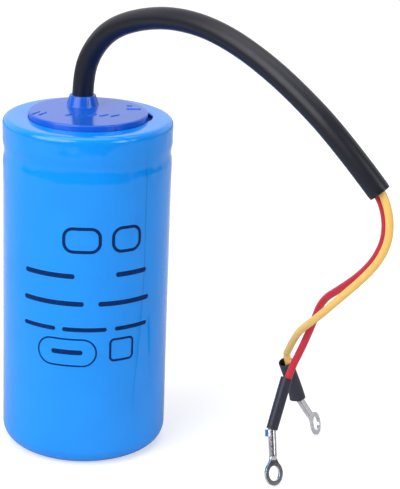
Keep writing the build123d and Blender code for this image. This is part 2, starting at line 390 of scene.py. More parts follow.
# ---------------------------------------------------------------- materials
def pvc_film(settings):
    """PVC shrink film, clear gloss over a solid colour with painted shade along its fold:
    sharp reflections that waver a little.
    """
    made, tree, shader = new_material(
        "pvc_shrink_film", settings.film_colour, Roughness=0.13, IOR=1.53)
    coords = object_coords(tree)
    # Draw streaks run up the tube of film, about 1.5 mm apart and 40 mm long.
    along_tube = add_node(tree, "ShaderNodeMapping",
                          {"Scale": (grain(1.54), grain(1.54), grain(40.0))}, Vector=coords)
    streaks = add_node(tree, "ShaderNodeTexNoise", {"Scale": 1.0, "Detail": 2.0},
                       Vector=along_tube.outputs[0])
    # Slow unevenness where the film shrank on to the can.
    slow = add_node(tree, "ShaderNodeTexNoise", {"Scale": grain(12.5), "Detail": 1.0},
                    Vector=coords)
    both = add_node(tree, "ShaderNodeMath", {"operation": "ADD"},
                    _0=streaks.outputs[0], _1=slow.outputs[0])
    add_node(tree, "ShaderNodeBump", {"Strength": 0.5, "Distance": 0.04 * MM},
             Height=both.outputs[0], into=shader.inputs["Normal"])
    base = linear(settings.film_colour)
    tone = add_node(tree, "ShaderNodeValToRGB", {"stops": [(0.3, shade(base, 0.95)), (0.7, base)]},
                    _0=slow.outputs[0])
    # Along the fold's line the base colour is darkened: painted shade in the crease.
    fold = add_node(tree, "ShaderNodeAttribute", {"attribute_name": "fold"})
    fold_painted_shade = add_node(tree, "ShaderNodeMix", {"data_type": "RGBA", 7: shade(base, 0.68)},
                      _0=fold.outputs["Fac"], _6=tone.outputs[0])
    tree.links.new(fold_painted_shade.outputs[2], shader.inputs["Base Color"])
    add_node(tree, "ShaderNodeMapRange", {"To Min": 0.06, "To Max": 0.11},
             Value=streaks.outputs[0], into=shader.inputs["Roughness"])
    return made


def printing_ink(settings):
    """Solvent ink rolled on to film: dark, semi-gloss, thinner in places."""
    made, tree, shader = new_material("printing_ink", settings.ink_colour, Roughness=0.45,
                                      IOR=1.45, Specular_IOR_Level=0.15)
    cover = add_node(tree, "ShaderNodeTexNoise", {"Scale": grain(0.4), "Detail": 2.0},
                     Vector=object_coords(tree))
    thin, full = linear("033578"), linear(settings.ink_colour)
    add_node(tree, "ShaderNodeValToRGB", {"stops": [(0.35, thin), (0.55, full)]},
             _0=cover.outputs[0], into=shader.inputs["Base Color"])
    return made


def moulded_cover(settings):
    """Injection-moulded polypropylene from a polished tool: even blue, soft clear reflections."""
    made, tree, shader = new_material(
        "moulded_polypropylene", settings.cover_colour, Roughness=0.16, IOR=1.49)
    coords = object_coords(tree)
    # Sink and flow marks raise the surface, and a fine skin varies its gloss.
    flow = add_node(tree, "ShaderNodeTexNoise", {"Scale": grain(6.25), "Detail": 1.5},
                    Vector=coords)
    skin = add_node(tree, "ShaderNodeTexNoise", {"Scale": grain(0.3), "Detail": 2.0},
                    Vector=coords)
    add_node(tree, "ShaderNodeMapRange", {"To Min": 0.12, "To Max": 0.22},
             Value=skin.outputs[0], into=shader.inputs["Roughness"])
    add_node(tree, "ShaderNodeBump", {"Strength": 0.5, "Distance": 0.03 * MM},
             Height=flow.outputs[0], into=shader.inputs["Normal"])
    return made


def black_sleeving(name, colour, smooth, dull):
    """Extruded soft PVC sleeving: near black with a broad milky sheen and handling marks."""
    made, tree, shader = new_material(name, colour, Roughness=0.4, IOR=1.5)
    coords = object_coords(tree)
    marks = add_node(tree, "ShaderNodeTexNoise", {"Scale": grain(2.0), "Detail": 3.0},
                     Vector=coords)
    skin = add_node(tree, "ShaderNodeTexNoise", {"Scale": grain(0.25), "Detail": 2.0},
                    Vector=coords)
    add_node(tree, "ShaderNodeMapRange", {"To Min": smooth, "To Max": dull},
             Value=marks.outputs[0], into=shader.inputs["Roughness"])
    add_node(tree, "ShaderNodeBump", {"Strength": 0.4, "Distance": 0.02 * MM},
             Height=skin.outputs[0], into=shader.inputs["Normal"])
    return made


def wire_insulation(name, colour):
    """Extruded PVC wire insulation: smooth semi-gloss with a slightly uneven skin."""
    made, tree, shader = new_material(
        name, colour, Roughness=0.3, IOR=1.5, Subsurface_Weight=0.08,
        Subsurface_Radius=(0.001, 0.0006, 0.0003))
    # The strands under the skin show as soft waves.
    waves = add_node(tree, "ShaderNodeTexNoise", {"Scale": grain(1.43), "Detail": 2.0},
                     Vector=object_coords(tree))
    add_node(tree, "ShaderNodeMapRange", {"To Min": 0.25, "To Max": 0.38},
             Value=waves.outputs[0], into=shader.inputs["Roughness"])
    add_node(tree, "ShaderNodeBump", {"Strength": 0.4, "Distance": 0.03 * MM},
             Height=waves.outputs[0], into=shader.inputs["Normal"])
    return made


def tinned_copper(name, colour, smooth, dull):
    """Electro-tinned copper, stamped and rolled: bright, with fine rub marks and grey bloom."""
    made, tree, shader = new_material(name, colour, Metallic=1.0, Roughness=0.25)
    coords = object_coords(tree)
    rub = add_node(tree, "ShaderNodeTexNoise", {"Scale": grain(0.154), "Detail": 2.0},
                   Vector=coords)
    bloom = add_node(tree, "ShaderNodeTexNoise", {"Scale": grain(1.0), "Detail": 3.0},
                     Vector=coords)
    bright = linear(colour)
    add_node(tree, "ShaderNodeValToRGB", {"stops": [(0.35, shade(bright, 0.8)), (0.6, bright)]},
             _0=bloom.outputs[0], into=shader.inputs["Base Color"])
    add_node(tree, "ShaderNodeMapRange", {"To Min": smooth, "To Max": dull},
             Value=bloom.outputs[0], into=shader.inputs["Roughness"])
    add_node(tree, "ShaderNodeBump", {"Strength": 0.4, "Distance": 0.01 * MM},
             Height=rub.outputs[0], into=shader.inputs["Normal"])
    return made


def plain_finish(name, colour, grain_mm, depth_mm, **finish):
    """A hidden part's finish: its colour mottled at the size of its grain, with a slight bump."""
    made, tree, shader = new_material(name, colour, **finish)
    mottle = add_node(tree, "ShaderNodeTexNoise", {"Scale": grain(grain_mm), "Detail": 3.0},
                      Vector=object_coords(tree))
    base = linear(colour)
    add_node(tree, "ShaderNodeValToRGB", {"stops": [(0.3, shade(base, 0.8)), (0.7, base)]},
             _0=mottle.outputs[0], into=shader.inputs["Base Color"])
    add_node(tree, "ShaderNodeBump", {"Strength": 0.5, "Distance": depth_mm * MM},
             Height=mottle.outputs[0], into=shader.inputs["Normal"])
    return made


def white_table(settings):
    """Matt white laminate under the lamps: seen directly it melts into the white backdrop."""
    made = bpy.data.materials.new("white_table")
    made.use_nodes = True
    tree = made.node_tree
    tree.nodes.clear()
    white = (1, 1, 1, 1)
    matt = add_node(tree, "ShaderNodeBsdfDiffuse", {"Color": linear(settings.floor_colour)})
    # Near the can the table shows its shadow; it fades into the backdrop from 0.4 m out.
    glow = add_node(tree, "ShaderNodeEmission", {"Color": white, "Strength": 0.5})
    near = add_node(tree, "ShaderNodeAddShader", _0=matt.outputs[0], _1=glow.outputs[0])
    out = add_node(tree, "ShaderNodeVectorMath", {"operation": "LENGTH"}, _0=object_coords(tree))
    fade = add_node(tree, "ShaderNodeMapRange", {"From Min": 0.4, "From Max": 0.9},
                    Value=out.outputs["Value"])
    backdrop = add_node(tree, "ShaderNodeEmission", {"Color": white, "Strength": 1.0})
    direct = add_node(tree, "ShaderNodeMixShader", _0=fade.outputs[0], _1=near.outputs[0],
                      _2=backdrop.outputs[0])
    # Glossy surfaces mirror the lit table, its tone painted with light: brighter close to the can
    #     and brightest behind. It ends under half a metre away in front, a little further out at
    #     the sides, and runs on behind.
    parts = add_node(tree, "ShaderNodeSeparateXYZ", _0=object_coords(tree))
    front = add_node(tree, "ShaderNodeMath", {"operation": "MINIMUM", 1: 0.0},
                     _0=parts.outputs["Y"])
    side = add_node(tree, "ShaderNodeMath", {"operation": "MULTIPLY", 1: 0.62},
                    _0=parts.outputs["X"])
    flat = add_node(tree, "ShaderNodeCombineXYZ", X=side.outputs[0], Y=front.outputs[0])
    away = add_node(tree, "ShaderNodeVectorMath", {"operation": "LENGTH"}, _0=flat.outputs[0])
    reflected_floor_light = [(0.04, 0.55), (0.1, 0.42), (0.36, 0.42), (0.38, 0.02)]
    tone = add_node(tree, "ShaderNodeValToRGB",
                    {"stops": [(place, (grey, grey, grey, 1)) for place, grey in reflected_floor_light]},
                    _0=away.outputs["Value"])
    painted_light_behind = add_node(tree, "ShaderNodeMapRange",
                    {"From Min": 0.0, "From Max": 0.15, "To Min": 1.0, "To Max": 1.45},
                    Value=parts.outputs["Y"])
    level = add_node(tree, "ShaderNodeVectorMath", {"operation": "SCALE"},
                     _0=tone.outputs[0], Scale=painted_light_behind.outputs[0])
    shaded = add_node(tree, "ShaderNodeBsdfDiffuse", Color=level.outputs[0])
    # A faint glow on the table adds painted light to what it sends back on to the can.
    lit = add_node(tree, "ShaderNodeEmission", {"Color": white, "Strength": 0.05})
    bounce = add_node(tree, "ShaderNodeAddShader", _0=matt.outputs[0], _1=lit.outputs[0])
    seen = add_node(tree, "ShaderNodeLightPath")
    other = add_node(tree, "ShaderNodeMixShader", _0=seen.outputs["Is Glossy Ray"],
                     _1=bounce.outputs[0], _2=shaded.outputs[0])
    picked = add_node(tree, "ShaderNodeMixShader", _0=seen.outputs["Is Camera Ray"],
                      _1=other.outputs[0], _2=direct.outputs[0])
    add_node(tree, "ShaderNodeOutputMaterial", _0=picked.outputs[0])
    return made


# ---------------------------------------------------------------- stage
class CAPACITOR_OT_stage(bpy.types.Operator):
    """Set the camera, the lamps, the world and the floor"""
    bl_idname = "capacitor.stage"
    bl_label = "Stage"

    def execute(self, context):
        settings = context.scene.capacitor_stage
        scene = context.scene
        scene.view_settings.view_transform = "Standard"
        self.camera(scene, settings)
        self.lamps(scene)
        self.world(scene)
        self.floor(scene, settings)
        return {"FINISHED"}

    def camera(self, scene, settings):
        """The camera, a long way off for a flat perspective."""
        camera = bpy.data.cameras.new("camera")
        camera.lens = settings.camera_lens
        camera.sensor_width = 36.0
        camera.sensor_fit = "AUTO"
        camera.clip_start, camera.clip_end = 0.01, 50.0
        holder = bpy.data.objects.new("camera", camera)
        scene.collection.objects.link(holder)
        way = Vector(settings.camera_target) - Vector(settings.camera_place)
        turn = way.to_track_quat("-Z", "Y").to_matrix().to_4x4()
        holder.matrix_world = (Matrix.Translation(settings.camera_place) @ turn
                               @ Matrix.Rotation(settings.camera_roll, 4, "Z"))
        scene.camera = holder

    def lamps(self, scene):
        """Three cloth-covered softboxes: the key on the left, a fill on the right, one above."""
        middle = Vector((0.03, -0.02, 0.07))
        for name, place, size, power in (
            ("key_softbox", (-1.05, -0.85, 0.95), (2.2, 2.2), 54.0),
            ("fill_softbox", (1.0, -0.8, 0.66), (1.0, 1.0), 12.5),
            ("top_softbox", (0.0, 0.05, 1.3), (2.2, 1.3), 17.0),
        ):
            lamp = bpy.data.lights.new(name, "AREA")
            lamp.shape, lamp.size, lamp.size_y, lamp.energy = "RECTANGLE", *size, power
            lamp.use_nodes = True
            tree = lamp.node_tree
            tree.nodes.clear()
            # The cloth over each box is brightest in the middle and fades out to its edge.
            spot = add_node(tree, "ShaderNodeNewGeometry").outputs["Parametric"]
            away = add_node(tree, "ShaderNodeVectorMath",
                            {"operation": "DISTANCE", 1: (0.5, 0.5, 0.0)}, _0=spot)
            cloth = add_node(tree, "ShaderNodeMapRange",
                             {"interpolation_type": "SMOOTHSTEP", "From Min": 0.22, "From Max": 0.5,
                              "To Min": 1.0, "To Max": 0.0}, Value=away.outputs["Value"])
            glow = add_node(tree, "ShaderNodeEmission", Strength=cloth.outputs[0])
            add_node(tree, "ShaderNodeOutputLight", _0=glow.outputs[0])
            holder = bpy.data.objects.new(name, lamp)
            scene.collection.objects.link(holder)
            holder.location = place
            holder.rotation_euler = (middle - Vector(place)).to_track_quat("-Z", "Y").to_euler()

    def world(self, scene):
        """Even white for the camera, and a room with a bright back wall for what is glossy."""
        world = bpy.data.worlds.new("studio")
        scene.world = world
        world.use_nodes = True
        tree = world.node_tree
        tree.nodes.clear()
        # What glossy surfaces mirror: a white sweep behind, dim in front and overhead.
        way = add_node(tree, "ShaderNodeTexCoord").outputs["Generated"]
        parts = add_node(tree, "ShaderNodeSeparateXYZ", _0=way)
        behind = add_node(tree, "ShaderNodeMapRange",
                          {"From Min": 0.05, "From Max": 0.5, "To Min": 0.07, "To Max": 0.95},
                          Value=parts.outputs["Y"])
        overhead = add_node(tree, "ShaderNodeMapRange",
                            {"From Min": 0.45, "From Max": 0.9, "To Min": 1.0, "To Max": 0.35},
                            Value=parts.outputs["Z"])
        room = add_node(tree, "ShaderNodeMath", {"operation": "MULTIPLY"},
                        _0=behind.outputs[0], _1=overhead.outputs[0])
        seen = add_node(tree, "ShaderNodeLightPath")
        white = (1, 1, 1, 1)
        ambient = add_node(tree, "ShaderNodeBackground", {"Color": white, "Strength": 0.36})
        mirrored = add_node(tree, "ShaderNodeBackground", {"Color": white},
                            Strength=room.outputs[0])
        backdrop = add_node(tree, "ShaderNodeBackground", {"Color": white, "Strength": 1.0})
        glossy = add_node(tree, "ShaderNodeMath", {"operation": "MAXIMUM"},
                          _0=seen.outputs["Is Glossy Ray"], _1=seen.outputs["Is Transmission Ray"])
        first = add_node(tree, "ShaderNodeMixShader", _0=glossy.outputs[0],
                         _1=ambient.outputs[0], _2=mirrored.outputs[0])
        second = add_node(tree, "ShaderNodeMixShader", _0=seen.outputs["Is Camera Ray"],
                          _1=first.outputs[0], _2=backdrop.outputs[0])
        add_node(tree, "ShaderNodeOutputWorld", _0=second.outputs[0])

    def floor(self, scene, settings):
        """A white table that is staging only."""
        half = 6.0
        corners = [(-half, -half, 0), (half, -half, 0), (half, half, 0), (-half, half, 0)]
        mesh = bpy.data.meshes.new("floor")
        mesh.from_pydata(corners, [], [(0, 1, 2, 3)])
        mesh.materials.append(white_table(settings))
        floor = bpy.data.objects.new("floor", mesh)
        scene.collection.objects.link(floor)


# ---------------------------------------------------------------- lead
class CAPACITOR_OT_lead(bpy.types.Operator):
    """Build the black sheath and the two wires as free cords"""
    bl_idname = "capacitor.lead"
    bl_label = "Sheath and wires"

    def execute(self, context):
        settings = context.scene.capacitor_lead
        sheath_line = spline_line("sheath_line", SHEATH_ROUTE)
        self.sheath(settings, sheath_line)
        self.wire(settings, "yellow", settings.yellow_colour, 0.111, sheath_line[-1])
        self.wire(settings, "red", settings.red_colour, 0.097, sheath_line[-1])
        return {"FINISHED"}

    def sheath(self, settings, line):
        """The sheath, cut off square at its far end."""
        radius = settings.sheath_diameter / 2
        bore = 2.75 * MM
        rim = 0.12 * MM
        sides = 56
        total = length_of(line)

        def outer(run, angle):
            soft = noise_round(angle, 1, run / MM / 9) * 0.035 * MM
            tail = max(0.0, rim - (total - run))
            return radius + soft - tail

        vertices, faces = tube(line, outer, sides)
        # The far end is open: a rounded lip, a bore and the stop where the wires come through.
        place, tangent, side, up = frames_along(line)[-1]
        rings = [(radius - rim, 0.02), (radius - rim * 2.5, 0.06), (bore + rim, 0.0),
                 (bore, -0.3), (bore, -8.0)]
        start = len(vertices) - sides
        for i, (ring_radius, beyond) in enumerate(rings):
            for angle in evenly(sides):
                vertices.append(place + tangent * beyond * MM
                                + (side * cos(angle) + up * sin(angle)) * ring_radius)
            faces += band(start + i * sides, start + (i + 1) * sides, sides)
        faces.append(tuple(range(len(vertices) - sides, len(vertices))))
        faces.append(tuple(reversed(range(sides))))
        finish = black_sleeving("pvc_sleeving", settings.sheath_colour, 0.34, 0.46)
        piece = make_object("sheath", vertices, faces, finish)
        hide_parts("cable_sheath")

    def wire(self, settings, colour, hex_colour, length, leaves):
        """One wire of a set length, which leaves the sheath at its mouth."""
        line = spline_line(f"{colour}_line", WIRE_ROUTES[colour])
        radius, sides = settings.wire_diameter / 2, 28

        def outer(run, angle):
            # The strands' lay shows as three shallow ridges that turn as they go.
            twist = run / MM / 14
            lay = sin(3 * (angle + twist)) * 0.012 * MM
            return radius + lay + noise.noise(Vector((run / MM / 6, angle, 3))) * 0.015 * MM

        vertices, faces = tube(line, outer, sides)
        faces.append(tuple(range(len(vertices) - sides, len(vertices))))
        faces.append(tuple(reversed(range(sides))))
        piece = make_object(f"core_{colour}", vertices, faces,
                            wire_insulation(f"pvc_insulation_{colour}", hex_colour))
        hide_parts(f"wire_{colour}")


class CAPACITOR_OT_end_sleeves(bpy.types.Operator):
    """Build the black sleeves over the crimped wire ends"""
    bl_idname = "capacitor.end_sleeves"
    bl_label = "End sleeves"

    def execute(self, context):
        settings = context.scene.capacitor_lead
        finish = black_sleeving("end_sleeving", settings.sleeve_colour, 0.36, 0.5)
        for colour, shape in END_SLEEVES.items():
            self.sleeve(colour, shape, finish)
        return {"FINISHED"}

    def sleeve(self, colour, shape, finish):
        """One sleeve: round at the top, pressed and cut askew where it covers the crimp."""
        top, outer, inner = Vector(shape["top"]), shape["outer"], shape["inner"]
        mouth, tip, way = (Vector(v) for v in LUGS[colour])
        bottom = mouth + (tip - mouth).normalized() * shape["over"]
        axis = (bottom - top).normalized()
        flat = (way - axis * way.dot(axis)).normalized()
        across = axis.cross(flat)
        length, sides, rows = (bottom - top).length, 48, 40
        vertices, faces = [], []

        def ring(run, radius):
            # The sleeve keeps its round form over the first part of its length.
            late = max(0.0, (run / length - 0.45) / 0.55)
            press = shape["pressed"] * late ** 1.5
            soft = noise.noise(Vector((run / 5, outer, 1))) * 0.02
            wide, thin = 1 + 0.45 * press + soft, 1 - press - soft
            middle = top + flat * shape["hang"] * late ** 2
            for angle in evenly(sides):
                place = middle + axis * (run - shape["askew"] * late ** 3 * cos(angle))
                place += (across * cos(angle) * wide + flat * sin(angle) * thin) * radius
                vertices.append(place * MM)

        runs = [0.0, 0.05] + [length * i / rows for i in range(1, rows)] + [length - 0.05, length]
        for i, run in enumerate(runs):
            edge = 0.06 if i in (0, len(runs) - 1) else 0.0
            ring(run, outer - edge)
        for i, run in enumerate(reversed(runs)):
            edge = 0.04 if i in (0, len(runs) - 1) else 0.0
            ring(run, inner + edge)
        count = 2 * len(runs)
        for i in range(count):
            faces += band(i * sides, (i + 1) % count * sides, sides)
        piece = make_object(f"sleeving_{colour}", vertices, faces, finish, 50)
        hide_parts(f"end_sleeve_{colour}")


class CAPACITOR_OT_ring_lugs(bpy.types.Operator):
    """Build the stamped and rolled ring terminals"""
    bl_idname = "capacitor.ring_lugs"
    bl_label = "Ring terminals"

    half = 8                 # faces each side of the flat's middle
    columns = 2 * half + 1   # vertices across the flat, and half of those round the barrel
    steps = 72               # vertices round the ring
    seam = 14                # the barrel's seam is at this vertex of its outline

    def execute(self, context):
        settings = context.scene.capacitor_lug
        flat_finish = tinned_copper("tinned_copper", settings.tin_colour, 0.08, 0.18)
        # The barrel, its ear and the cut edges take a brighter copy of the tin, a painted
        # highlight, with a rougher finish.
        rolled_highlight_finish = tinned_copper("tinned_copper_rolled_highlight", settings.barrel_highlight_colour, 0.16, 0.26)
        for colour in LUGS:
            self.lug(settings, colour, flat_finish, rolled_highlight_finish)
        return {"FINISHED"}

    def lug(self, settings, colour, flat_finish, rolled_highlight_finish):
        """One terminal; the two have their crimp ears on opposite sides."""
        self.mouth, tip, way = (Vector(v) for v in LUGS[colour])
        self.axis = (tip - self.mouth).normalized()
        self.flat = (way - self.axis * way.dot(self.axis)).normalized()
        self.side = self.axis.cross(self.flat)
        self.vertices, self.faces = [], []
        neck = self.barrel()
        rolled = len(self.faces)
        above = self.sheet(settings, neck[:self.columns], HALF_SHEET)
        under = self.sheet(settings, neck[:self.columns - 1:-1], -HALF_SHEET)
        sheared = len(self.faces)
        self.sheared_edges(above, under)
        self.ear(radians(EAR_TURN if colour == "red" else -EAR_TURN))
        piece = make_object(f"terminal_{colour}", self.vertices, self.faces, flat_finish,
                            35)
        piece.data.materials.append(rolled_highlight_finish)
        for face in piece.data.polygons:
            face.material_index = int(face.index < rolled or face.index >= sheared)
        bevel = piece.modifiers.new("Bevel", "BEVEL")
        bevel.width = 0.13 * MM
        bevel.segments = 3
        bevel.limit_method = "ANGLE"
        bevel.angle_limit = radians(50)
        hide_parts(f"ring_lug_{colour}")

    def put(self, along, across, off):
        """Add a vertex, in millimetres from the middle of the barrel's mouth; give its number."""
        place = self.mouth + self.axis * along + self.side * across + self.flat * off
        self.vertices.append(place * MM)
        return len(self.vertices) - 1

    def angle_of(self, i):
        """Where a vertex of the barrel's outline stands; the seam's two lips are close to it."""
        near = {self.seam - 1: 0.7, self.seam + 1: -0.7}.get(i, 0.0)
        return 2 * pi * (i + near - self.half) / (2 * self.columns)

    def hoop(self, along, radius):
        """A round outline."""
        return [self.put(along, radius * sin(self.angle_of(i)), radius * cos(self.angle_of(i)))
                for i in range(2 * self.columns)]

    def section(self, along, share):
        """The barrel's outline with its seam, a share of the way to the neck's flat one."""
        loop = []
        for i in range(2 * self.columns):
            radius = BARREL_R - (0.34 * (1 - share) if i == self.seam else 0.0)
            t = i / self.half - 1 if i < self.columns else 1 - (i - self.columns) / self.half
            level = HALF_SHEET if i < self.columns else -HALF_SHEET
            loop.append(self.put(
                along, radius * sin(self.angle_of(i)) * (1 - share) + NECK_W / 2 * t * share,
                radius * cos(self.angle_of(i)) * (1 - share) + level * share))
        return loop

    def barrel(self):
        """Bore, mouth, barrel, and the neck it is pressed into; gives the neck's outline."""
        loops = [self.hoop(3.0, BORE_R), self.hoop(0.1, BORE_R), self.hoop(0.0, BORE_R + 0.08),
                 self.hoop(0.0, BARREL_R - 0.1)]
        loops += [self.section(along, 0.0)
                  for along in (0.1, 1.0, 2.5, 4.0, 5.5, 7.0, 8.0, BARREL_END)]
        for i in range(1, 8):
            share = i / 7
            loops.append(self.section(BARREL_END + (NECK - BARREL_END) * share,
                                      share * share * (3 - 2 * share)))
        for a, b in zip(loops, loops[1:]):
            self.faces += band(a[0], b[0], len(a))
        self.faces.append(tuple(loops[0]))
        return loops[-1]

    def sheet(self, settings, neck, level):
        """One side of the flat: rows that widen from the neck to the ring, and the ring."""
        ring_r, hole_r = settings.ring_radius / MM, settings.hole_radius / MM
        centre = settings.length / MM - ring_r
        rim = [radians((j - self.half) * 360 / self.steps) for j in range(self.columns)]
        rows = [neck]
        for share in (0.25, 0.5, 0.75):
            widened = share ** 1.5
            rows.append([self.put(NECK + (centre - ring_r * cos(turn) - NECK) * share,
                                  NECK_W / 2 * (j / self.half - 1) * (1 - widened)
                                  + ring_r * sin(turn) * widened, level)
                         for j, turn in enumerate(rim)])
        hoops = [[self.put(centre - radius * cos(turn), radius * sin(turn), level)
                  for turn in evenly(self.steps)]
                 for radius in (ring_r, (ring_r + hole_r) / 2, hole_r)]
        rows.append([hoops[0][(j - self.half) % self.steps] for j in range(self.columns)])
        for a, b in zip(rows, rows[1:]):
            self.faces += [(a[j], a[j + 1], b[j + 1], b[j]) for j in range(self.columns - 1)]
        for a, b in zip(hoops, hoops[1:]):
            self.faces += band(a[0], b[0], self.steps)
        return rows, hoops

    def sheared_edges(self, above, under):
        """The edges between the flat's two sides: along the neck, in the hole, round the ring."""
        (rows, hoops), (rows_under, hoops_under) = above, under
        for j in (0, self.columns - 1):
            self.faces += [(rows[i][j], rows[i + 1][j], rows_under[i + 1][j], rows_under[i][j])
                           for i in range(len(rows) - 1)]
        for k in range(self.steps):
            after = (k + 1) % self.steps
            at_neck = not self.half <= k < self.steps - self.half
            for n in (-1,) if at_neck else (-1, 0):
                self.faces.append((hoops[n][k], hoops[n][after],
                                   hoops_under[n][after], hoops_under[n][k]))

    def ear(self, turn):
        """The crimp ear, a tab that stands off the barrel beside its mouth."""
        corners = []
        for along in (0.5, 2.6):
            for out, by in ((1.0, -0.475), (1.6, -0.475), (1.6, 1.425), (1.0, 1.425)):
                by = by if turn > 0 else -by
                corners.append(self.put(along, out * sin(turn) + by * cos(turn),
                                        out * cos(turn) - by * sin(turn)))
        a, b, c, d, e, f, g, h = corners
        self.faces += [(a, b, c, d), (e, f, g, h), (a, b, f, e), (b, c, g, f), (c, d, h, g),
                       (d, a, e, h)]


# ---------------------------------------------------------------- can, film, cover
class CAPACITOR_OT_film(bpy.types.Operator):
    """Build the shrunk film with its dip over the groove, its fold, its gathers and its edges"""
    bl_idname = "capacitor.film"
    bl_label = "Shrink film"

    def execute(self, context):
        settings = context.scene.capacitor_can
        body, thick = settings.body_radius / MM, settings.film_thickness / MM
        # Round the rim the film stands a little further out and up than the solid does.
        rim, top = FILM_HIGH.x / MM + 0.15, FILM_HIGH.z / MM + 0.3

        def section(inward, upward):
            """The film's section, moved in from its outside and up from its underside."""
            wall, edge, ring = body - inward, rim - inward, top - upward
            return [(FILM_LIP_R, upward), (wall, upward), (wall, SWELL_Z),
                    (wall + SWELL, BEAD_Z - DIP_HALF), (wall - FILM_DIP, BEAD_Z),
                    (edge, BEAD_Z + DIP_HALF), (edge, ring), (FILM_EDGE_R + 0.45, ring),
                    (FILM_EDGE_R, ring - 0.12)]

        outer = closer(rounded(section(0.0, 0.0), [5.2, 100, 12, 6, 8, 1.8, 0.8]), 1.2)
        inner = rounded(section(thick, thick - 0.02), [4.8, 100, 12, 6, 8, 1.4, 0.6])
        # Close to the fold there are extra columns of faces.
        fold = self.fold_at(SWELL_Z) / body - pi / 2
        angles = sorted(evenly(384) + [fold % (2 * pi) + j * 0.13 / body for j in range(-6, 7)])
        vertices, faces = revolved(outer + inner[::-1], angles)
        count = len(outer) + len(inner)
        for k, angle in enumerate(angles):
            for i in range(count):
                place = self.pulled_back(vertices[k * count + i], angle, top)
                if i < len(outer):
                    place = self.shrunk(place, angle, settings.film_ripple / MM)
                vertices[k * count + i] = place
        piece = make_object("film", vertices, faces, pvc_film(settings), 60)
        # How much painted shade along the fold's line each point has; it fades out at the foot and
        # the rim.
        marks = piece.data.attributes.new("fold", "FLOAT", "POINT")
        for mark, vertex in zip(marks.data, piece.data.vertices):
            x, y, z = vertex.co / MM
            off_fold = from_front(atan2(y, x)) * body - self.fold_at(z)
            mark.value = bell(off_fold, 0.2) * max(0.0, min(1.0, (z - 12) / 20, (97 - z) / 6))
        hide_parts("film_sleeve")
        return {"FINISHED"}

    def fold_at(self, height):
        """Distance round the can from the front to the film's fold, which leans lower down."""
        upright, lean, leans_below, over = 18.9, 3.2, 62.0, 40.0
        return upright - lean * max(0.0, min(1.0, (leans_below - height) / over)) ** 1.3

    def pulled_back(self, place, angle, top):
        """On top the film's edge has pulled back from the boss in one round bay."""
        x, y, z = place / MM
        radius = sqrt(x * x + y * y)
        if z <= top - 1.2 or radius >= FILM_FREE_R:
            return place
        bay_x, bay_y, bay_r = 9.9, 0.9, 9.3
        along = bay_x * cos(angle) + bay_y * sin(angle)
        inside = bay_r ** 2 - bay_x ** 2 - bay_y ** 2 + along ** 2
        edge = along + sqrt(inside) if inside > 0 and along > 0 else 0.0
        edge = max(FILM_EDGE_R, edge) + noise_round(angle, 3, 5) * 0.12
        share = min(1.0, (FILM_FREE_R - radius) / (FILM_FREE_R - FILM_EDGE_R))
        radius += (edge - FILM_EDGE_R) * share
        return Vector((radius * cos(angle), radius * sin(angle), z)) * MM

    def shrunk(self, place, angle, ripple):
        """One point of the film's outside, moved to where the shrunk film lies."""
        x, y, z = place / MM
        radius = sqrt(x * x + y * y)
        rim = FILM_HIGH.x / MM
        off_fold = from_front(angle) * rim - self.fold_at(SWELL_Z)
        radius -= 0.02 * bell(off_fold, 0.25)
        angle += (self.fold_at(z) - self.fold_at(SWELL_Z)) / rim * bell(off_fold, 9)
        radius += noise_round(angle, 2.2, z / 22) * ripple
        # Gathers, where the film shrinks over the shoulder and into the groove.
        over_shoulder = bell(z - 97.0, 2.6) * (3.2 + 1.8 * sin(angle - 1.4 * pi))
        into_groove = 4.0 * bell(z - 90.0, 3.0)
        radius += (over_shoulder + into_groove) * ripple * noise_round(angle, 8, z / 4)
        z += 1.1 * bell(z - 92.5, 4) * noise_round(angle, 3, 7)
        return Vector((radius * cos(angle), radius * sin(angle), z)) * MM


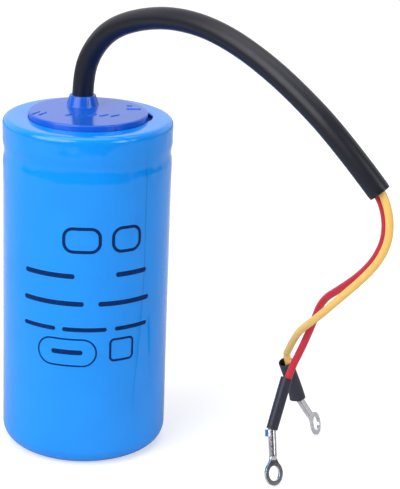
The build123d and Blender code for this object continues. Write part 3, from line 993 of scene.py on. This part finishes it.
class CAPACITOR_OT_print_marks(bpy.types.Operator):
    """Print plain bars and rounded boxes where a rating panel would be"""
    bl_idname = "capacitor.print_marks"
    bl_label = "Printed marks"

    def execute(self, context):
        settings = context.scene.capacitor_can
        self.radius = settings.body_radius / MM + 0.035
        self.vertices, self.faces = [], []
        for middle, height, width, tall in (
            (-11.35, 61.0, 16.3, 1.5), (14.25, 61.3, 10.7, 1.5),
            (-10.15, 52.5, 19.5, 1.5), (12.3, 52.5, 17.2, 1.5),
            (-14.4, 44.4, 11.0, 1.3), (-0.2, 44.4, 13.4, 1.3), (14.6, 44.4, 11.4, 1.3),
            (-5.4, 37.2, 9.6, 1.5),
        ):
            self.bar(middle, height, width, tall)
        for middle, height, width, tall, corner, stroke in (
            (-1.3, 72.1, 11.6, 8.0, 3.2, 0.95), (12.35, 72.0, 9.7, 8.1, 3.2, 0.95),
            (-5.5, 37.1, 18.3, 8.9, 4.4, 0.5), (11.3, 37.7, 8.0, 7.4, 1.6, 0.7),
        ):
            self.outline(middle, height, width, tall, corner, stroke)
        make_object("print_marks", self.vertices, self.faces, printing_ink(settings),
                    60)
        return {"FINISHED"}

    def on_film(self, across, height):
        """A point of the print: distance round the film from the front, and height."""
        angle = across / self.radius - pi / 2
        return Vector((self.radius * cos(angle), self.radius * sin(angle), height)) * MM

    def bar(self, middle, height, width, tall):
        """A bar with round ends."""
        count, first = max(4, ceil(width / 0.3)), len(self.vertices)
        for i in range(count + 1):
            across = width * (i / count - 0.5)
            reach = min(0.0, width / 2 - tall / 2 - abs(across))
            half = sqrt(max(0.0, (tall / 2) ** 2 - reach ** 2))
            self.vertices += [self.on_film(middle + across, height - half),
                              self.on_film(middle + across, height + half)]
        for i in range(count):
            a = first + 2 * i
            self.faces.append((a, a + 2, a + 3, a + 1))

    def outline(self, middle, height, width, tall, corner, stroke):
        """The outline of a box with round corners."""
        loops = []
        for inset in (0.0, stroke):
            w, t, r = width / 2 - inset, tall / 2 - inset, max(0.2, corner - inset)
            loop = []
            for quarter, (sx, sy) in enumerate(((1, 1), (-1, 1), (-1, -1), (1, -1))):
                for i in range(13):
                    turn = quarter * pi / 2 + i * pi / 24
                    loop.append(Vector((sx * (w - r) + r * cos(turn),
                                        sy * (t - r) + r * sin(turn))))
            loops.append(loop)
        outer, inner = self.cut_up(*loops)
        first, count = len(self.vertices), len(outer)
        for (ax, ay), (bx, by) in zip(outer, inner):
            self.vertices += [self.on_film(middle + ax, height + ay),
                              self.on_film(middle + bx, height + by)]
        for i in range(count):
            a, b = first + 2 * i, first + 2 * ((i + 1) % count)
            self.faces.append((a, b, b + 1, a + 1))

    def cut_up(self, outer, inner):
        """Both loops with their straight stretches cut up, to follow the round of the can."""
        outer_line, inner_line = [], []
        for i in range(len(outer)):
            j = (i + 1) % len(outer)
            count = max(1, ceil(round(abs(outer[j].x - outer[i].x) / 0.4, 3)))
            outer_line += [outer[i].lerp(outer[j], k / count) for k in range(count)]
            inner_line += [inner[i].lerp(inner[j], k / count) for k in range(count)]
        return outer_line, inner_line


class CAPACITOR_OT_cover(bpy.types.Operator):
    """Build the moulded cover with its gland and the raised strokes on its lid"""
    bl_idname = "capacitor.cover"
    bl_label = "Cover and gland"

    def execute(self, context):
        settings = context.scene.capacitor_can
        low, gland_top = COVER_LOW.z / MM, COVER_HIGH.z / MM
        edge, under = COVER_HIGH.x / MM, LID_TOP - LID_T
        middle = 0.02
        lid = closer(rounded(
            [(middle, under), (CAVITY_R, under), (CAVITY_R, low), (edge, low),
             (edge, COVER_RIM_Z), (MOAT_R, COVER_RIM_Z), (MOAT_R, MOAT_Z), (BOSS_R, MOAT_Z),
             (BOSS_R, LID_TOP), (middle, LID_TOP)],
            [1.0, 0, 0, 2.1, 0.05, 0.05, 0.1, 0.55]), 1.5)
        vertices, faces = revolved(lid, evenly(256))
        grip_r, foot_r, lip_r, foot_z = 3.22, 4.9, 3.9, LID_TOP - 1.0
        gland = closer(rounded(
            [(grip_r, foot_z), (foot_r + 0.2, foot_z), (foot_r + 0.2, LID_TOP),
             (foot_r, LID_TOP + 0.06), (lip_r, gland_top), (grip_r, gland_top)],
            [0, 0, 0.12, 0.22]), 0.6)
        more, more_faces = revolved(gland, evenly(96), SHEATH_ROUTE[0][:2])
        shift = len(vertices)
        vertices += more
        faces += [tuple(i + shift for i in face) for face in more_faces]
        slashes = [(-5.4 + 3.3 * i, -5.0, 40, 3.3) for i in range(5)]
        for x, y, turn, length in (
            (-15.4, -3.6, 60, 4.0), (-13.4, -4.4, 60, 4.0),
            (13.5, 3.2, 4, 4.4), (12.3, 7.0, 4, 1.7), *slashes,
        ):
            self.stroke(vertices, faces, x, y, radians(turn), length)
        piece = make_object("cover_moulding", vertices, faces, moulded_cover(settings),
                            38)
        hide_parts("cover")
        return {"FINISHED"}

    def stroke(self, vertices, faces, x, y, turn, length):
        """A low bar with round ends, raised from the lid and narrower on top."""
        half, sides, first = 0.36, 20, len(vertices)
        for grow, height in ((0.1, -0.05), (0.0, 0.14), (-0.14, 0.22)):
            for k in range(sides):
                angle = 2 * pi * (k + 0.5) / sides
                end = (length / 2 - half) * (1 if cos(angle) > 0 else -1)
                along = end + (half + grow) * cos(angle)
                across = (half + grow) * sin(angle)
                vertices.append(Vector((x + along * cos(turn) - across * sin(turn),
                                        y + along * sin(turn) + across * cos(turn),
                                        LID_TOP + height)) * MM)
        for a in (first, first + sides):
            faces += band(a, a + sides, sides)
        faces.append(tuple(range(first + 2 * sides, first + 3 * sides)))


class CAPACITOR_OT_inner_parts(bpy.types.Operator):
    """Give the can and the sealed parts their real finishes"""
    bl_idname = "capacitor.inner_parts"
    bl_label = "Can and inner parts"

    def execute(self, context):
        lead = context.scene.capacitor_lead
        lug = context.scene.capacitor_lug
        # Name, colour, and the size and depth of the grain in millimetres.
        finishes = {
            "can": plain_finish("drawn_aluminium", "CDCFD2", 0.6, 0.01,
                                Metallic=1.0, Roughness=0.32),
            "seal_ring": plain_finish("rubber_seal", "1B1B1B", 0.4, 0.02, Roughness=0.7),
            "terminal_disc": plain_finish("phenolic_laminate", "6E4526", 0.5, 0.02,
                                          Roughness=0.5),
            "rivet_yellow": plain_finish("aluminium_rivet", "D4D6D9", 0.4, 0.01,
                                         Metallic=1.0, Roughness=0.3),
            "foil_tab_yellow": plain_finish("aluminium_foil_tab", "D9DBDE", 0.5, 0.01,
                                            Metallic=1.0, Roughness=0.25),
            "wound_element": plain_finish("impregnated_winding", "B8AA85", 0.8, 0.03,
                                          Roughness=0.5),
            "base_washer": plain_finish("fibre_washer", "BFB89E", 0.6, 0.03, Roughness=0.7),
            "solder_tag_yellow": tinned_copper("tinned_brass_tag", lug.tin_colour, 0.15, 0.3),
            "inner_core_yellow": wire_insulation("inner_core_pvc_yellow", lead.yellow_colour),
            "inner_core_red": wire_insulation("inner_core_pvc_red", lead.red_colour),
            "conductor_yellow": plain_finish("tinned_strands", "CDB9A0", 0.3, 0.03,
                                             Metallic=1.0, Roughness=0.35),
        }
        for name in ("rivet", "foil_tab", "solder_tag", "conductor"):
            finishes[f"{name}_red"] = finishes[f"{name}_yellow"]
        for name, finish in finishes.items():
            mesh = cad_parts[name].data
            mesh.materials.clear()
            mesh.materials.append(finish)
        return {"FINISHED"}


# ---------------------------------------------------------------- panel and start
class CAPACITOR_PT_panel(bpy.types.Panel):
    """Lists the capacitor's pieces and settings"""
    bl_idname = "CAPACITOR_PT_panel"
    bl_label = "Motor start capacitor"
    bl_space_type = "VIEW_3D"
    bl_region_type = "UI"
    bl_category = "Capacitor"

    def draw(self, context):
        for group in ("capacitor_can", "capacitor_lead", "capacitor_lug", "capacitor_stage"):
            box = self.layout.box()
            settings = getattr(context.scene, group)
            for name in settings.bl_rna.properties.keys():
                if name not in ("rna_type", "name"):
                    box.prop(settings, name)
        for operator in OPERATORS:
            self.layout.operator(operator.bl_idname)


GROUPS = {
    "capacitor_can": CapacitorCanSettings,
    "capacitor_lead": CapacitorLeadSettings,
    "capacitor_lug": CapacitorLugSettings,
    "capacitor_stage": CapacitorStageSettings,
}
OPERATORS = (
    CAPACITOR_OT_stage,
    CAPACITOR_OT_ring_lugs,
    CAPACITOR_OT_end_sleeves,
    CAPACITOR_OT_lead,
    CAPACITOR_OT_film,
    CAPACITOR_OT_print_marks,
    CAPACITOR_OT_cover,
    CAPACITOR_OT_inner_parts,
)


def register():
    for name, group in GROUPS.items():
        bpy.utils.register_class(group)
        setattr(bpy.types.Scene, name, bpy.props.PointerProperty(type=group))
    for operator in OPERATORS:
        bpy.utils.register_class(operator)
    bpy.utils.register_class(CAPACITOR_PT_panel)


def unregister():
    bpy.utils.unregister_class(CAPACITOR_PT_panel)
    for operator in reversed(OPERATORS):
        bpy.utils.unregister_class(operator)
    for name, group in reversed(GROUPS.items()):
        delattr(bpy.types.Scene, name)
        bpy.utils.unregister_class(group)


def main():
    register()
    for operator in OPERATORS:
        area, action = operator.bl_idname.split(".")
        getattr(getattr(bpy.ops, area), action)()


if __name__ == "__main__":
    main()
